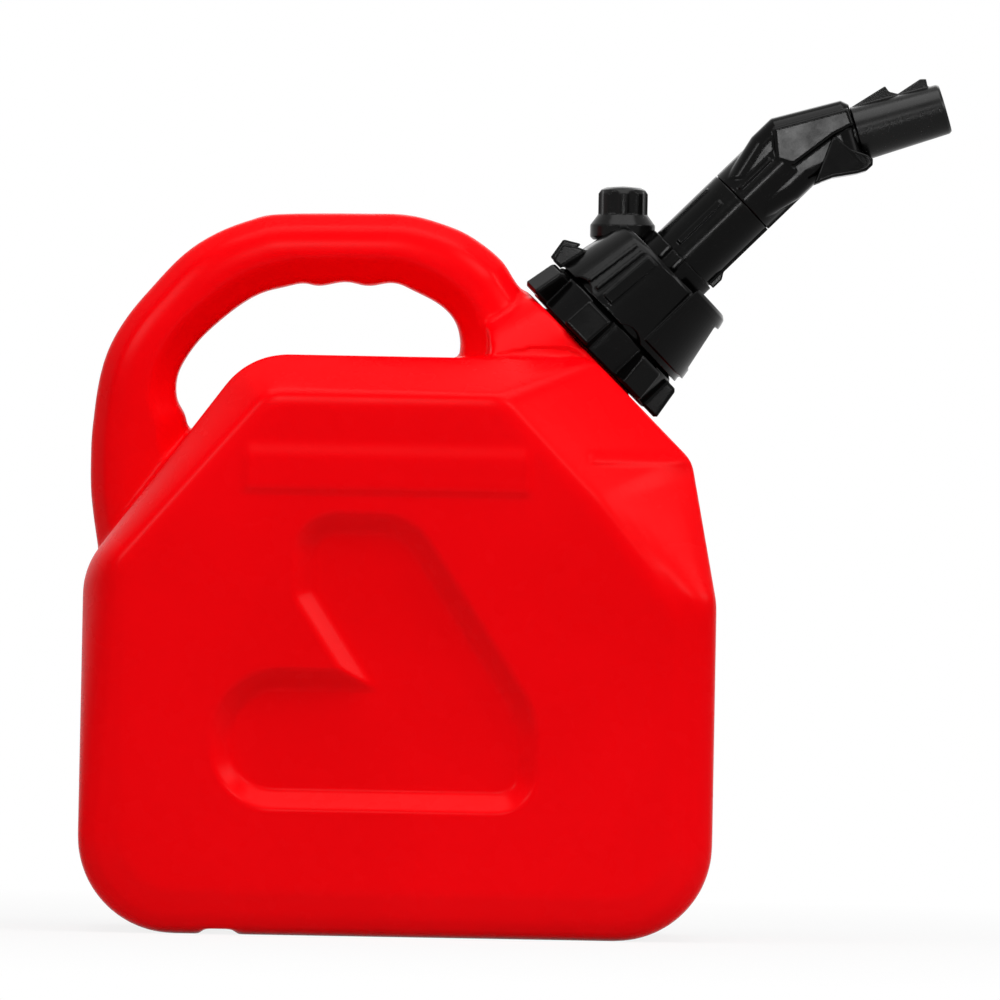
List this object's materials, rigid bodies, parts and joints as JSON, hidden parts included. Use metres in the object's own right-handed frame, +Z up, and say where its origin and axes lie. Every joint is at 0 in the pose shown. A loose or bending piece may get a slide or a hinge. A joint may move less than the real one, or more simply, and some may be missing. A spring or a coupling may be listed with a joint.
{
  "type": "fuel can",
  "caption": "Plastic fuel can with a hollow loop handle, a stiffening recess, an angled neck and a self-closing pouring spout with hook, vent knob and lugged ring.",
  "frame": {"origin": "on the ground, in the middle of the base", "axes": "+X towards the spout, +Z up, Y across the can"},
  "size_m": [0.3774, 0.158, 0.3802],
  "materials": {
    "can_red": "blow-moulded polyethylene, soft gloss",
    "spout_black": "moulded black, satin to gloss",
    "nozzle_black": "moulded black, glossier",
    "knob_black": "moulded black, satin",
    "inner_black": "matt",
    "rubber": "matt",
    "steel": "drawn wire",
    "natural": "natural acetal"
  },
  "bodies": {
    "can": {"can_body": "can_red", "can_neck": "can_red", "can_handle": "can_red", "flame_screen": "inner_black", "neck_gasket": "rubber"},
    "collar": {"collar_ring": "spout_black"},
    "spout": {"spout_shroud": "spout_black", "spout_base": "spout_black", "tab_pin": "steel", "vent_gasket": "rubber", "sleeve_oring": "rubber", "return_spring": "steel", "stem_spider": "natural", "valve_stem": "steel", "valve_plug": "natural", "valve_seal": "rubber"},
    "tab": {"release_tab": "spout_black"},
    "vent_cap": {"vent_cap": "knob_black"},
    "sleeve": {"sleeve_tube": "spout_black", "elbow_housing": "spout_black", "hook": "spout_black", "hook_pin": "steel", "nozzle": "nozzle_black", "nozzle_oring": "rubber"}
  },
  "joints": [
    {"name": "spout_lift", "type": "slide", "parent": "can", "child": "spout", "axis": [0.7071, 0, 0.7071], "range_m": [0, 0.0076]},
    {"name": "collar_turn", "type": "hinge", "parent": "spout", "child": "collar", "pos_m": [0.07985, 0, 0.2572], "axis": [0.7071, 0, 0.7071], "range_deg": [0, 540]},
    {"name": "tab_press", "type": "hinge", "parent": "spout", "child": "tab", "pos_m": [0.06882, 0, 0.30019], "axis": [0, 1, 0], "range_deg": [0, 8], "stiffness_Nm_per_rad": 0.4, "springref_deg": -17.19},
    {"name": "vent_cap_turn", "type": "hinge", "parent": "spout", "child": "vent_cap", "pos_m": [0.0949, 0.009, 0.3135], "axis": [0, 0, 1], "range_deg": [0, 120]},
    {"name": "sleeve_push", "type": "slide", "parent": "spout", "child": "sleeve", "axis": [-0.7071, 0, -0.7071], "range_m": [0, 0.009], "stiffness_N_per_m": 700, "springref_m": -0.012, "deforming": ["return_spring"]}
  ],
  "couplings": [
    {"joint": "spout_lift", "follows": "collar_turn", "m_per_rad": 0.00079577}
  ]
}
